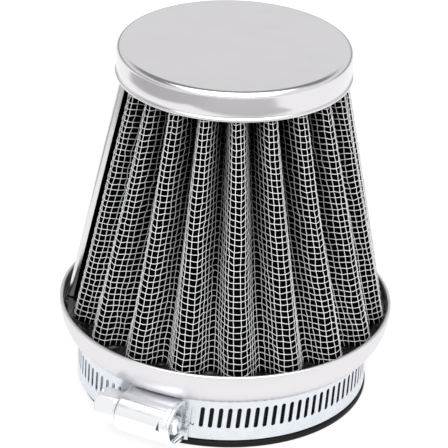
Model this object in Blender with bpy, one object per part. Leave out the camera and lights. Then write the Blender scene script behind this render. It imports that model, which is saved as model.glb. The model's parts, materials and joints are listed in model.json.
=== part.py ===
"""Clamp-on cone air filter for a motorcycle carburettor, built piece by piece.

Metres, +Z up.  The filter's axis is the world Z axis and the neck's mouth is at z = 0.
An azimuth is measured from -Y towards +X, seen from above, in degrees.
"""
import math

import bmesh
import bpy
from mathutils import Matrix, Vector

MM = 0.001

# Driving dimensions, in millimetres and degrees.
CAP_RADIUS = 27.3
CAP_TOP = 87.6
CAP_SHEET = 0.6
CAP_LIP_RADIUS = 27.65
CAP_LIP_BOTTOM = 80.4
CAP_SHOULDER = 1.2
RIM_RADIUS = 39.85
RIM_TOP = 22.15
RIM_MOUTH_RADIUS = 35.5
RIM_SHEET = 0.6
BOWL_CENTRE_RADIUS = 34.4
BOWL_HEIGHT = 9.3
BORE_RADIUS = 30.0
NECK_RADIUS = 33.65
BEAD_RADIUS = 34.5
BEAD_HEIGHT = 1.8
FLANGE_TOP = 17.0
BAND_INNER_RADIUS = 33.95
BAND_OUTER_RADIUS = 34.5
BAND_BOTTOM = 2.1
BAND_TOP = 13.9
TAIL_INNER_RADIUS = 34.8
TAIL_OUTER_RADIUS = 35.35
SLOTS_PER_TURN = 101
SLOT_HEIGHT = 5.3
SLOT_WIDTH_SHARE = 0.45
SLOT_LEAN = 0.08
CLAMP_AZIMUTH = -45.0
FIRST_LOOP_SLOT = 3
LAST_LOOP_SLOT = 74
TAIL_CELLS = 26
TAIL_START_CELL = 1
SCREW_AXIS_RADIUS = 38.9
SCREW_HEIGHT = 8.0
HOUSING_LENGTH_HEAD_SIDE = 5.6
HOUSING_LENGTH_TIP_SIDE = 8.8
HOUSING_OUTER = 4.9
HOUSING_SHEET = 0.75
HOUSING_FOOT_RADIUS = 35.75
THREAD_PITCH = 2.0 * math.pi * BAND_OUTER_RADIUS / SLOTS_PER_TURN
THREAD_CREST = 3.1
THREAD_ROOT = 2.35
HEX_ACROSS_FLATS = 7.0
HEX_LENGTH = 5.3
COLLAR_RADIUS = 3.6
PLEATS = 19
STEPS_PER_PLEAT = 8
SEAM_AZIMUTH = -109.3
PLEAT_BOTTOM = 19.9
PLEAT_TOP = 81.2
CREST_BOTTOM = 37.9
CREST_TOP = 25.0
DEPTH_BOTTOM = 4.8
DEPTH_TOP = 7.5
FAN_CENTRE = -35.0
FAN_TOP = -5.6
FAN_BOTTOM = 3.15
VALLEY_SHARPNESS = 1.4
SEAM_PINCH = 0.5
GAUZE_BOTTOM = 0.4
GAUZE_TOP = 0.5
MEDIA_BOTTOM = 1.4
MEDIA_TOP = 1.6
STRIP_WIDTH = 4.4
STRIP_LEG = 2.5
STRIP_SHEET = 0.5
RESIN_THICKNESS = 2.3
GAP = 0.3
TURN_STEPS = 60


def clear_scene():
    """Remove every object the file opened with."""
    for old in list(bpy.data.objects):
        bpy.data.objects.remove(old, do_unlink=True)


def finish_of(name, colour, roughness, metallic):
    """A plain Principled material in the part's colour."""
    material = bpy.data.materials.new(name)
    material.use_nodes = True
    shader = material.node_tree.nodes["Principled BSDF"]
    shader.inputs["Base Color"].default_value = (*colour, 1.0)
    shader.inputs["Roughness"].default_value = roughness
    shader.inputs["Metallic"].default_value = metallic
    return material


def add_object(name, mesh_builder, material, smooth_angle=40.0):
    """Turn a bmesh into a named object with outward faces, shaded smooth."""
    bmesh.ops.recalc_face_normals(mesh_builder, faces=mesh_builder.faces[:])
    mesh = bpy.data.meshes.new(name)
    mesh_builder.to_mesh(mesh)
    mesh_builder.free()
    mesh.shade_smooth()
    mesh.set_sharp_from_angle(angle=math.radians(smooth_angle))
    mesh.materials.append(material)
    made = bpy.data.objects.new(name, mesh)
    bpy.context.scene.collection.objects.link(made)
    return made


def around(azimuth, radius, height):
    """World point of an azimuth, a radius and a height, from millimetres to metres."""
    turn = math.radians(azimuth)
    return Vector((radius * math.sin(turn), -radius * math.cos(turn), height)) * MM


def turned(name, profile, material):
    """Spin a closed profile of (radius, height) points about Z."""
    build = bmesh.new()
    points = [build.verts.new((radius * MM, 0.0, height * MM)) for radius, height in profile]
    edges = [build.edges.new((a, b)) for a, b in zip(points, points[1:] + points[:1])]
    bmesh.ops.spin(
        build,
        geom=points + edges,
        axis=(0.0, 0.0, 1.0),
        cent=(0.0, 0.0, 0.0),
        angle=2.0 * math.pi,
        steps=TURN_STEPS,
        use_merge=True,
    )
    bmesh.ops.remove_doubles(build, verts=build.verts[:], dist=1e-6)
    return add_object(name, build, material)


def arc(centre, radii, start, end, steps):
    """Points on an ellipse about (radius, height) centre, angles from +radius towards +Z."""
    swept = [math.radians(start + (end - start) * i / steps) for i in range(steps + 1)]
    return [(centre[0] + radii[0] * math.cos(a), centre[1] + radii[1] * math.sin(a)) for a in swept]


def bowl_angle(height, inset):
    """Angle on the bowl's ellipse, sunk by inset, where it reaches a height."""
    return -math.degrees(math.asin((RIM_TOP - height) / (BOWL_HEIGHT - inset)))


def bowl_arc(inset, start, end, steps):
    """The bowl's outline sunk by inset, between two angles."""
    radii = (RIM_RADIUS - BOWL_CENTRE_RADIUS - inset, BOWL_HEIGHT - inset)
    return arc((BOWL_CENTRE_RADIUS, RIM_TOP), radii, start, end, steps)


def make_cap(material):
    """Pressed cup: flat face, rounded shoulder, straight skirt and a rolled lip."""
    shoulder = (CAP_RADIUS - CAP_SHOULDER, CAP_TOP - CAP_SHOULDER)
    outer = arc(shoulder, (CAP_SHOULDER, CAP_SHOULDER), 90.0, 0.0, 3)
    lip_reach = CAP_LIP_RADIUS - CAP_RADIUS
    lip = [
        (CAP_RADIUS, CAP_LIP_BOTTOM + 1.4),
        (CAP_LIP_RADIUS, CAP_LIP_BOTTOM + 1.0),
        (CAP_LIP_RADIUS, CAP_LIP_BOTTOM + 0.3),
        (CAP_LIP_RADIUS - lip_reach, CAP_LIP_BOTTOM),
    ]
    inner_radius = CAP_RADIUS - CAP_SHEET
    inner_fillet = CAP_SHOULDER - CAP_SHEET
    inner = [(inner_radius, CAP_LIP_BOTTOM)]
    inner += arc((inner_radius - inner_fillet, CAP_TOP - CAP_SHOULDER), (inner_fillet,) * 2, 0.0, 90.0, 2)
    profile = [(0.0, CAP_TOP)] + outer + lip + inner + [(0.0, CAP_TOP - CAP_SHEET)]
    return turned("top_cap", profile, material)


def make_cap_resin(material):
    """Disc of potting that holds the pleats' upper ends inside the cap."""
    radius = CAP_RADIUS - CAP_SHEET - GAP
    top = CAP_TOP - CAP_SHEET - GAP
    bottom = PLEAT_TOP + GAP
    profile = [(0.0, top), (radius - 1.0, top), (radius, top - 1.0), (radius, bottom), (0.0, bottom)]
    return turned("cap_resin", profile, material)


def make_rim(material):
    """Pressed bowl ring, open at the bottom where the neck comes through."""
    mouth_share = (RIM_MOUTH_RADIUS - BOWL_CENTRE_RADIUS) / (RIM_RADIUS - BOWL_CENTRE_RADIUS)
    mouth_angle = -math.degrees(math.acos(mouth_share))
    outer = bowl_arc(0.0, 0.0, mouth_angle, 8)
    inner = bowl_arc(RIM_SHEET, mouth_angle, 0.0, 8)
    return turned("bottom_rim", outer + inner, material)


def make_base_resin(material):
    """Ring of potting in the bowl that the pleats stand on."""
    inset = RIM_SHEET + GAP
    bottom = FLANGE_TOP + GAP
    top = bottom + RESIN_THICKNESS
    wall = bowl_arc(inset, bowl_angle(bottom, inset), bowl_angle(top, inset), 2)
    profile = [(BORE_RADIUS, bottom)] + wall + [(BORE_RADIUS, top)]
    return turned("base_resin", profile, material)


def make_rubber_base(material):
    """Moulded neck with a bead at its mouth and a flange that fills the bowl's floor."""
    inset = RIM_SHEET + GAP
    flange_bottom = BAND_TOP + GAP
    wall = bowl_arc(inset, bowl_angle(flange_bottom, inset), bowl_angle(FLANGE_TOP, inset), 3)
    bead = [
        (BEAD_RADIUS - 0.5, 0.0),
        (BEAD_RADIUS, 0.5),
        (BEAD_RADIUS, BEAD_HEIGHT - 0.4),
        (BEAD_RADIUS - 0.4, BEAD_HEIGHT),
        (NECK_RADIUS, BEAD_HEIGHT),
    ]
    profile = [(BORE_RADIUS + 0.6, 0.0)] + bead + [(NECK_RADIUS, flange_bottom)] + wall
    profile += [(BORE_RADIUS, FLANGE_TOP), (BORE_RADIUS, 0.6)]
    return turned("rubber_base", profile, material)


def pleat_point(step, level, sink):
    """Point on the pleated sheet: step counts round it, level runs 0 at the foot to 1 at the top."""
    pitch = 360.0 / PLEATS
    phase = step / STEPS_PER_PLEAT
    away = phase - round(phase)
    if round(phase) % PLEATS == 0:
        away = math.copysign(0.5 * (abs(away) / 0.5) ** SEAM_PINCH, away)
    fold = ((1.0 - math.cos(2.0 * math.pi * away)) / 2.0) ** VALLEY_SHARPNESS
    even = SEAM_AZIMUTH + pitch * phase
    fan = FAN_TOP * level + FAN_BOTTOM * (1.0 - level)
    azimuth = even + fan * math.sin(math.radians(even - FAN_CENTRE))
    crest = CREST_TOP * level + CREST_BOTTOM * (1.0 - level)
    depth = DEPTH_TOP * level + DEPTH_BOTTOM * (1.0 - level)
    sunk = sink[1] * level + sink[0] * (1.0 - level)
    height = PLEAT_TOP * level + PLEAT_BOTTOM * (1.0 - level)
    return around(azimuth, crest - depth * fold - sunk, height)


def make_pleated_sheet(name, sink, thickness, material):
    """Closed corrugated tube between two sinks below the outer surface (foot, top)."""
    far = (sink[0] + thickness[0], sink[1] + thickness[1])
    build = bmesh.new()
    count = PLEATS * STEPS_PER_PLEAT
    skins = []
    for depth in (sink, far):
        skin = []
        for level in (0.0, 1.0):
            skin.append([build.verts.new(pleat_point(i, level, depth)) for i in range(count)])
        skins.append(skin)
    outer, inner = skins
    pairs = [(outer[0], outer[1]), (inner[0], inner[1]), (inner[0], outer[0]), (inner[1], outer[1])]
    for lower, upper in pairs:
        for i in range(count):
            j = (i + 1) % count
            build.faces.new((lower[i], lower[j], upper[j]))
            build.faces.new((lower[i], upper[j], upper[i]))
    return add_object(name, build, material)


def make_seam_strip(material):
    """Folded channel clipped along the pleat where the sheet's two ends meet."""
    half = STRIP_WIDTH / 2.0
    inside = half - STRIP_SHEET
    top_of_web = GAP + STRIP_SHEET
    section = [
        (-half, -STRIP_LEG + top_of_web),
        (-half, top_of_web - 0.6),
        (-half + 0.6, top_of_web),
        (half - 0.6, top_of_web),
        (half, top_of_web - 0.6),
        (half, -STRIP_LEG + top_of_web),
        (inside, -STRIP_LEG + top_of_web),
        (inside, GAP),
        (-inside, GAP),
        (-inside, -STRIP_LEG + top_of_web),
    ]
    build = bmesh.new()
    ends = []
    for level in (0.005, 0.995):
        spine = pleat_point(0, level, (0.0, 0.0))
        outward = Vector((spine.x, spine.y, 0.0)).normalized()
        across = Vector((-outward.y, outward.x, 0.0))
        ends.append([build.verts.new(spine + (across * a + outward * r) * MM) for a, r in section])
    build.faces.new(ends[0])
    build.faces.new(ends[1])
    for i, start in enumerate(ends[0]):
        j = (i + 1) % len(section)
        build.faces.new((start, ends[0][j], ends[1][j], ends[1][i]))
    return add_object("seam_strip", build, material, 25.0)


def slot_corners(cell, radius, slotted):
    """A cell's four outer corners, then its slot's four corners, at one radius."""
    pitch = 360.0 / SLOTS_PER_TURN
    middle = CLAMP_AZIMUTH + pitch * (cell + 0.5)
    centre = (BAND_BOTTOM + BAND_TOP) / 2.0
    outer = [
        around(middle + side * pitch / 2.0, radius, height)
        for side, height in ((-1, BAND_BOTTOM), (1, BAND_BOTTOM), (1, BAND_TOP), (-1, BAND_TOP))
    ]
    if not slotted:
        return outer, []
    half_width = SLOT_WIDTH_SHARE * pitch / 2.0
    half_height = SLOT_HEIGHT / 2.0
    lean = math.degrees(SLOT_LEAN * half_height / radius)
    slot = [
        around(middle + side * half_width + end * lean, radius, centre + end * half_height)
        for side, end in ((-1, -1), (1, -1), (1, 1), (-1, 1))
    ]
    return outer, slot


def make_slotted_strip(name, cells, slotted_cells, radii, material):
    """Curved strip made of cells, some with a leaning slot right through."""
    build = bmesh.new()
    full_turn = len(cells) == SLOTS_PER_TURN
    for cell in cells:
        slotted = cell in slotted_cells
        skins = []
        for radius in radii:
            outer, slot = slot_corners(cell, radius, slotted)
            skins.append(([build.verts.new(p) for p in outer], [build.verts.new(p) for p in slot]))
        for outer, slot in skins:
            if not slotted:
                build.faces.new(outer)
                continue
            for i in range(4):
                j = (i + 1) % 4
                build.faces.new((outer[i], outer[j], slot[j], slot[i]))
        sides = [0, 2]
        if not full_turn and cell == cells[0]:
            sides.append(3)
        if not full_turn and cell == cells[-1]:
            sides.append(1)
        for i in sides:
            j = (i + 1) % 4
            build.faces.new((skins[0][0][i], skins[0][0][j], skins[1][0][j], skins[1][0][i]))
        if slotted:
            for i in range(4):
                j = (i + 1) % 4
                build.faces.new((skins[0][1][i], skins[0][1][j], skins[1][1][j], skins[1][1][i]))
    bmesh.ops.remove_doubles(build, verts=build.verts[:], dist=1e-6)
    return add_object(name, build, material, 30.0)


def make_band(material):
    """The loop that goes round the neck, plain where the housing and the tail cover it."""
    cells = range(SLOTS_PER_TURN)
    slotted = range(FIRST_LOOP_SLOT, LAST_LOOP_SLOT)
    return make_slotted_strip("clamp_band", cells, slotted, (BAND_INNER_RADIUS, BAND_OUTER_RADIUS), material)


def make_tail(material):
    """The band's free end, which leaves the housing on the screw head's side."""
    cells = range(-TAIL_CELLS, TAIL_START_CELL)
    slotted = cells[1:]
    radii = (TAIL_INNER_RADIUS, TAIL_OUTER_RADIUS)
    return make_slotted_strip("clamp_band_tail", cells, slotted, radii, material)


def housing_outline(grow):
    """Half-round arch with two straight sides, as (outward, height) points, grown by grow."""
    radius = HOUSING_OUTER - HOUSING_SHEET + grow
    foot = HOUSING_FOOT_RADIUS - SCREW_AXIS_RADIUS
    steps = 10
    turns = [math.radians(-90.0 + 180.0 * i / steps) for i in range(steps + 1)]
    arch = [(radius * math.cos(a), radius * math.sin(a)) for a in turns]
    return [(foot, -radius)] + arch + [(foot, radius)]


def make_housing(material):
    """Pressed arch over the screw, extruded along the screw's axis, with its tip end flared."""
    build = bmesh.new()
    stations = [
        (-HOUSING_LENGTH_HEAD_SIDE, -0.35),
        (-HOUSING_LENGTH_HEAD_SIDE + 0.6, 0.0),
        (HOUSING_LENGTH_TIP_SIDE - 0.9, 0.0),
        (HOUSING_LENGTH_TIP_SIDE, 0.3),
    ]
    rings = []
    for along, flare in stations:
        outer = housing_outline(HOUSING_SHEET + flare)
        inner = housing_outline(flare)
        outline = outer + inner[::-1]
        rings.append([build.verts.new((out * MM, up * MM, along * MM)) for out, up in outline])
    count = len(rings[0])
    for lower, upper in zip(rings, rings[1:]):
        for i in range(count):
            j = (i + 1) % count
            build.faces.new((lower[i], lower[j], upper[j], upper[i]))
    for ring in (rings[0], rings[-1]):
        for i in range(count // 2 - 1):
            build.faces.new((ring[i], ring[i + 1], ring[count - 2 - i], ring[count - 1 - i]))
    return add_object("clamp_housing", build, material)


def hex_radius(turn, apothem):
    """Distance from the axis to a hexagon's side in direction turn."""
    sector = math.radians(60.0)
    return apothem / math.cos((turn + sector / 2.0) % sector - sector / 2.0)


def screw_radius(station, turn):
    """Radius of the screw at a place along its axis: head, collar, worm thread or tip."""
    kind, along, value = station
    if kind == "hex":
        return hex_radius(turn, value)
    if kind == "round":
        return value
    lead = (along / THREAD_PITCH - turn / (2.0 * math.pi)) % 1.0
    ridge = max(0.0, 1.0 - abs(lead - 0.5) / 0.38)
    return THREAD_ROOT + value * (THREAD_CREST - THREAD_ROOT) * min(1.0, 1.6 * ridge)


def screw_stations():
    """Places along the screw's axis, from the head's end to the tip."""
    apothem = HEX_ACROSS_FLATS / 2.0
    head_start = -HOUSING_LENGTH_HEAD_SIDE - GAP - 0.8 - HEX_LENGTH
    head_end = head_start + HEX_LENGTH
    thread_start = -HOUSING_LENGTH_HEAD_SIDE + 1.1
    thread_end = HOUSING_LENGTH_TIP_SIDE + 0.6
    stations = [
        ("round", head_start, apothem - 0.5),
        ("hex", head_start + 0.6, apothem),
        ("hex", head_end - 0.3, apothem),
        ("round", head_end, apothem - 0.1),
        ("round", head_end + 0.8, COLLAR_RADIUS - 0.5),
        ("round", thread_start - 0.3, COLLAR_RADIUS - 0.5),
        ("round", thread_start, THREAD_ROOT),
    ]
    steps = 30
    for i in range(1, steps):
        share = i / steps
        height = min(1.0, 6.0 * share, 6.0 * (1.0 - share))
        stations.append(("thread", thread_start + (thread_end - thread_start) * share, height))
    stations.append(("round", thread_end, THREAD_ROOT))
    stations.append(("round", thread_end + 0.7, THREAD_ROOT - 0.3))
    stations.append(("round", thread_end + 1.1, THREAD_ROOT - 1.1))
    return stations


def make_screw(material):
    """Hexagon-headed worm screw with a driver slot, its axis along local Z."""
    build = bmesh.new()
    sides = 24
    turns = [2.0 * math.pi * i / sides for i in range(sides)]
    rings = []
    for station in screw_stations():
        ring = []
        for turn in turns:
            radius = screw_radius(station, turn) * MM
            ring.append(build.verts.new((radius * math.cos(turn), radius * math.sin(turn), station[1] * MM)))
        rings.append(ring)
    for lower, upper in zip(rings, rings[1:]):
        for i in range(sides):
            j = (i + 1) % sides
            build.faces.new((lower[i], lower[j], upper[j], upper[i]))
    build.faces.new(rings[0])
    build.faces.new(rings[-1])
    return add_object("clamp_screw", build, material, 30.0)


def cut_driver_slot(screw, parent):
    """Saw the straight driver slot across the head's end."""
    build = bmesh.new()
    bmesh.ops.create_cube(build, size=1.0)
    depth = 1.4
    head_start = screw_stations()[0][1]
    size = Matrix.Diagonal((1.1 * MM, HEX_ACROSS_FLATS * 1.5 * MM, 2.0 * depth * MM, 1.0))
    bmesh.ops.transform(build, matrix=size, verts=build.verts[:])
    cutter = add_object("driver_slot_cutter", build, screw.data.materials[0])
    cutter.parent = parent
    cutter.location = (0.0, 0.0, head_start * MM)
    cutter.hide_render = True
    cutter.display_type = "WIRE"
    cut = screw.modifiers.new("driver_slot", "BOOLEAN")
    cut.operation = "DIFFERENCE"
    cut.object = cutter
    cut.solver = "EXACT"


def add_empty(name):
    """An empty that marks a joint's axis."""
    empty = bpy.data.objects.new(name, None)
    bpy.context.scene.collection.objects.link(empty)
    return empty


def screw_frame():
    """Matrix of the screw's axis: local X points outward, local Y down, local Z from head to tip."""
    turn = math.radians(CLAMP_AZIMUTH)
    outward = Vector((math.sin(turn), -math.cos(turn), 0.0))
    along = Vector((math.cos(turn), math.sin(turn), 0.0))
    down = Vector((0.0, 0.0, -1.0))
    place = around(CLAMP_AZIMUTH, SCREW_AXIS_RADIUS, SCREW_HEIGHT)
    frame = Matrix((outward, down, along)).transposed().to_4x4()
    frame.translation = place
    return frame


def main():
    """Build every sub-part and hang the clamp's pieces on their axes."""
    clear_scene()
    chrome = finish_of("chrome_plated_steel", (0.80, 0.79, 0.79), 0.15, 1.0)
    zinc = finish_of("zinc_plated_steel", (0.78, 0.80, 0.83), 0.30, 1.0)
    wire = finish_of("galvanised_wire_gauze", (0.62, 0.62, 0.62), 0.40, 1.0)
    cotton = finish_of("black_filter_cloth", (0.012, 0.012, 0.013), 0.95, 0.0)
    rubber = finish_of("moulded_black_rubber", (0.015, 0.015, 0.016), 0.60, 0.0)
    resin = finish_of("dark_potting_resin", (0.05, 0.045, 0.045), 0.25, 0.0)
    make_cap(chrome)
    make_cap_resin(resin)
    make_rim(chrome)
    make_base_resin(resin)
    make_rubber_base(rubber)
    make_seam_strip(chrome)
    gauze = (GAUZE_BOTTOM, GAUZE_TOP)
    media = (MEDIA_BOTTOM, MEDIA_TOP)
    media_sink = (2.0 * GAUZE_BOTTOM, 2.0 * GAUZE_TOP)
    inner_sink = (media_sink[0] + media[0] + GAUZE_BOTTOM, media_sink[1] + media[1] + GAUZE_TOP)
    make_pleated_sheet("outer_gauze", (0.0, 0.0), gauze, wire)
    make_pleated_sheet("filter_media", media_sink, media, cotton)
    make_pleated_sheet("inner_gauze", inner_sink, gauze, wire)
    clamp_axis = add_empty("clamp_axis")
    screw_axis = add_empty("screw_axis")
    screw_axis.matrix_world = screw_frame()
    band = make_band(zinc)
    band.parent = clamp_axis
    tail = make_tail(zinc)
    tail.parent = clamp_axis
    housing = make_housing(zinc)
    housing.parent = screw_axis
    screw = make_screw(zinc)
    screw.parent = screw_axis
    cut_driver_slot(screw, screw_axis)


main()
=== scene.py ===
# %% [markdown]
# # A clamp-on cone air filter
# The real filter is a pleated sandwich of wire gauze and black cloth, potted between a pressed
# cap and a pressed bowl, on a moulded rubber neck that a worm-drive clamp grips.
# Every piece below is a surface worked out with numpy in millimetres and placed in the frame
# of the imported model, so nothing is fitted by eye afterwards.

# %% Load the frame
import json
import math

import bpy
import numpy as np
from mathutils import Matrix, Vector


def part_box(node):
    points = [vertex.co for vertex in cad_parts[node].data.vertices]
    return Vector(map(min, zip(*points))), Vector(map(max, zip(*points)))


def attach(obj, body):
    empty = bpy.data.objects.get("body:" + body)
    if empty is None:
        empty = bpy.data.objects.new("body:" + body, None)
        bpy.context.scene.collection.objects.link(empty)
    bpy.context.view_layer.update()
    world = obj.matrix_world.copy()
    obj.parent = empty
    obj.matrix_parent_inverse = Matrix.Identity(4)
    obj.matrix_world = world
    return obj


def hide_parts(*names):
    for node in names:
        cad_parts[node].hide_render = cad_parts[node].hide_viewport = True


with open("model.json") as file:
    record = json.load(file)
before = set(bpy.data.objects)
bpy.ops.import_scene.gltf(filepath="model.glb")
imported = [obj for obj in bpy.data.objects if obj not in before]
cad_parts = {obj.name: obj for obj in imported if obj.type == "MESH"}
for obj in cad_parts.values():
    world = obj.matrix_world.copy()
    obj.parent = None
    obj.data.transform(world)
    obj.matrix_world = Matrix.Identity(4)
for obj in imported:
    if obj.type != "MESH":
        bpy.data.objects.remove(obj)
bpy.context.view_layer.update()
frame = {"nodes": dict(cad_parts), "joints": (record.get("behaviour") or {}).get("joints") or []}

MM = 0.001
CHANCE = np.random.default_rng(19)

# %% [markdown]
# ## From arrays to meshes
# A mesh is a list of points and lists of faces. Python loops over vertices are slow, so faces
# come from whole index arrays. The signed volume of a closed mesh says whether its faces point
# outwards: where it is negative, every face is turned round.

# %% Mesh helpers


def signed_volume(points, groups):
    """Sum over triangles (a, b, c) of a . (b x c) / 6."""
    total = 0.0
    for faces in groups:
        first = points[faces[:, 0]]
        for k in range(1, faces.shape[1] - 1):
            crossed = np.cross(points[faces[:, k]], points[faces[:, k + 1]])
            total += np.einsum("ij,ij->", first, crossed) / 6.0
    return total


def make_mesh(name, points, groups):
    """Mesh from points in millimetres and arrays of faces, each array with one face size."""
    points = np.asarray(points, float).reshape(-1, 3)
    groups = [np.asarray(faces, np.int64) for faces in groups if len(faces)]
    if signed_volume(points, groups) < 0.0:
        groups = [faces[:, ::-1] for faces in groups]
    sizes = np.concatenate([np.full(len(faces), faces.shape[1]) for faces in groups])
    corners = np.concatenate([faces.ravel() for faces in groups])
    mesh = bpy.data.meshes.new(name)
    mesh.vertices.add(len(points))
    mesh.vertices.foreach_set("co", (points * MM).ravel())
    mesh.loops.add(len(corners))
    mesh.loops.foreach_set("vertex_index", corners)
    mesh.polygons.add(len(sizes))
    mesh.polygons.foreach_set("loop_start", np.concatenate([[0], np.cumsum(sizes)[:-1]]))
    mesh.update(calc_edges=True)
    mesh.validate()
    mesh.shade_smooth()
    return mesh


def grid_faces(rows, columns, wrap_rows, wrap_columns):
    """Quads of a grid whose vertex (r, c) is number r * columns + c."""
    r = np.arange(rows if wrap_rows else rows - 1)
    c = np.arange(columns if wrap_columns else columns - 1)
    r, c = (a.ravel() for a in np.meshgrid(r, c, indexing="ij"))
    r_next = (r + 1) % rows
    c_next = (c + 1) % columns
    quad = (r * columns + c, r * columns + c_next, r_next * columns + c_next, r_next * columns + c)
    return np.stack(quad, axis=1)


def add_piece(name, mesh, material, body, stands_for, sharp_angle=None):
    """Object of a mesh that rides on a body and stands for some CAD nodes."""
    if sharp_angle is not None:
        mesh.set_sharp_from_angle(angle=math.radians(sharp_angle))
    mesh.materials.append(material)
    piece = bpy.data.objects.new(name, mesh)
    bpy.context.scene.collection.objects.link(piece)
    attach(piece, body)
    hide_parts(*stands_for)
    triangles = sum(len(p.vertices) - 2 for p in mesh.polygons)
    print(f"{name}: {triangles} triangles")
    return piece


print("faces of a grid of 2 by 3 points:", len(grid_faces(2, 3, False, False)))

# %% [markdown]
# ## Colours and nodes
# Colours are written as sRGB hex values, as a colour picker gives them, and Cycles wants linear
# light, so one function does the conversion. One more function adds a shader node, sets its
# settings and links its inputs, so that each material below reads as a list of what it does.

# %% Material helpers


def linear(code):
    """sRGB hex to linear RGBA: c / 12.92 below 0.04045, else ((c + 0.055) / 1.055) ** 2.4."""
    channels = [int(code[i:i + 2], 16) / 255.0 for i in (1, 3, 5)]
    light = [c / 12.92 if c <= 0.04045 else ((c + 0.055) / 1.055) ** 2.4 for c in channels]
    return (*light, 1.0)


def add_node(material, kind, settings=None, inputs=None):
    """Node of a kind in a material's or the world's tree, with attributes set and inputs given as
    values or as sockets to link."""
    tree = material.node_tree
    made = tree.nodes.new(kind)
    for key, value in (settings or {}).items():
        setattr(made, key, value)
    for key, value in (inputs or {}).items():
        if isinstance(value, bpy.types.NodeSocket):
            tree.links.new(value, made.inputs[key])
        else:
            made.inputs[key].default_value = value
    return made


def new_material(name, colour, roughness, metallic, extra=None):
    """Material with its Principled shader set to the constants that hold all over it."""
    material = bpy.data.materials.new(name)
    material.use_nodes = True
    shader = material.node_tree.nodes["Principled BSDF"]
    shader.inputs["Base Color"].default_value = linear(colour)
    shader.inputs["Roughness"].default_value = roughness
    shader.inputs["Metallic"].default_value = metallic
    for key, value in (extra or {}).items():
        shader.inputs[key].default_value = value
    return material, shader


def link(material, output, shader, name):
    """Drive one of a shader's inputs with a socket."""
    material.node_tree.links.new(output, shader.inputs[name])


def object_noise(material, size, detail):
    """Noise on object coordinates whose blobs are about size millimetres across."""
    place = add_node(material, "ShaderNodeTexCoord")
    return add_node(
        material,
        "ShaderNodeTexNoise",
        {},
        {"Vector": place.outputs["Object"], "Scale": 1.0 / (size * MM), "Detail": detail},
    )


def spread(material, value, low, high, from_low=0.3, from_high=0.7):
    """Map a value's span, by default a noise's usual one, onto low..high."""
    return add_node(
        material,
        "ShaderNodeMapRange",
        {},
        {"Value": value, "From Min": from_low, "From Max": from_high, "To Min": low, "To Max": high},
    ).outputs["Result"]


def two_tones(material, value, dark, light, low=0.3, high=0.7):
    """Colour ramp between two hex colours over a value's span."""
    ramp = add_node(material, "ShaderNodeValToRGB", {}, {"Fac": value})
    ramp.color_ramp.elements[0].position = low
    ramp.color_ramp.elements[0].color = linear(dark)
    ramp.color_ramp.elements[1].position = high
    ramp.color_ramp.elements[1].color = linear(light)
    return ramp.outputs["Color"]


def bumped(material, height, depth, shader):
    """Tilt the shading normal with a height, depth millimetres from valley to peak."""
    bump = add_node(
        material, "ShaderNodeBump", {}, {"Height": height, "Distance": depth * MM, "Strength": 1.0}
    )
    link(material, bump.outputs["Normal"], shader, "Normal")


print("middle grey in linear light:", round(linear("#808080")[0], 3))

# %% [markdown]
# ## Metals
# The cap and the seam strip are pressed steel with polished chrome plate: a mirror with a very
# slightly warm grey colour, a little haze and a very shallow waviness left by the press. The bowl
# was plated without polishing, so it is satin and mirrors nothing clearly.
# The clamp is zinc plated steel: whiter and bluer, duller, and mottled by its crystals. Its
# housing and screw have bright zinc, which is smoother, and the housing's stamped mark is painted dark
# as painted shade.
# The gauze is woven from galvanised wire, which is duller still. Its colour is darkened towards the
# deep ends of the folds as painted shade; the meshes carry that as a number per vertex, called fold.

# %% Metal materials


def chrome_plate(name, smooth, dull):
    """Chrome with its roughness wandering between two values over 6 mm patches of haze, and with
    9 mm waves a hundredth of a millimetre deep."""
    material, shader = new_material(name, "#DFDDE0", smooth, 1.0)
    haze = object_noise(material, 6.0, 4.0)
    link(material, spread(material, haze.outputs["Fac"], smooth, dull), shader, "Roughness")
    wave = object_noise(material, 9.0, 1.0)
    bumped(material, wave.outputs["Fac"], 0.010, shader)
    return material


chrome = chrome_plate("chrome_plated_polished_steel", 0.15, 0.21)
satin_chrome = chrome_plate("chrome_plated_satin_steel", 0.34, 0.42)


def zinc_plate(name, colour, smooth, dull, relief):
    """Zinc whose roughness and relief follow crystals about 2.4 mm across, which are given back too."""
    material, shader = new_material(name, colour, smooth, 1.0)
    crystals = object_noise(material, 2.4, 2.0).outputs["Fac"]
    link(material, spread(material, crystals, smooth, dull), shader, "Roughness")
    bumped(material, crystals, relief, shader)
    return material, shader, crystals


zinc, zinc_shader, crystals = zinc_plate("zinc_plated_strip_steel", "#E2E6EB", 0.24, 0.32, 0.0005)
link(zinc, two_tones(zinc, crystals, "#D9DDE3", "#E2E6EB"), zinc_shader, "Base Color")

bright_zinc, bright_shader = zinc_plate(
    "bright_zinc_plated_pressed_steel", "#F5F7F9", 0.17, 0.22, 0.0002
)[:2]
# Painted shade: the stamped mark's recess is painted dark grey.
stamped_shade = add_node(bright_zinc, "ShaderNodeAttribute", {"attribute_name": "stamped"})
stamp_shade_tone = two_tones(bright_zinc, stamped_shade.outputs["Fac"], "#F5F7F9", "#5C5E62", 0.1, 0.9)
link(bright_zinc, stamp_shade_tone, bright_shader, "Base Color")

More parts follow.
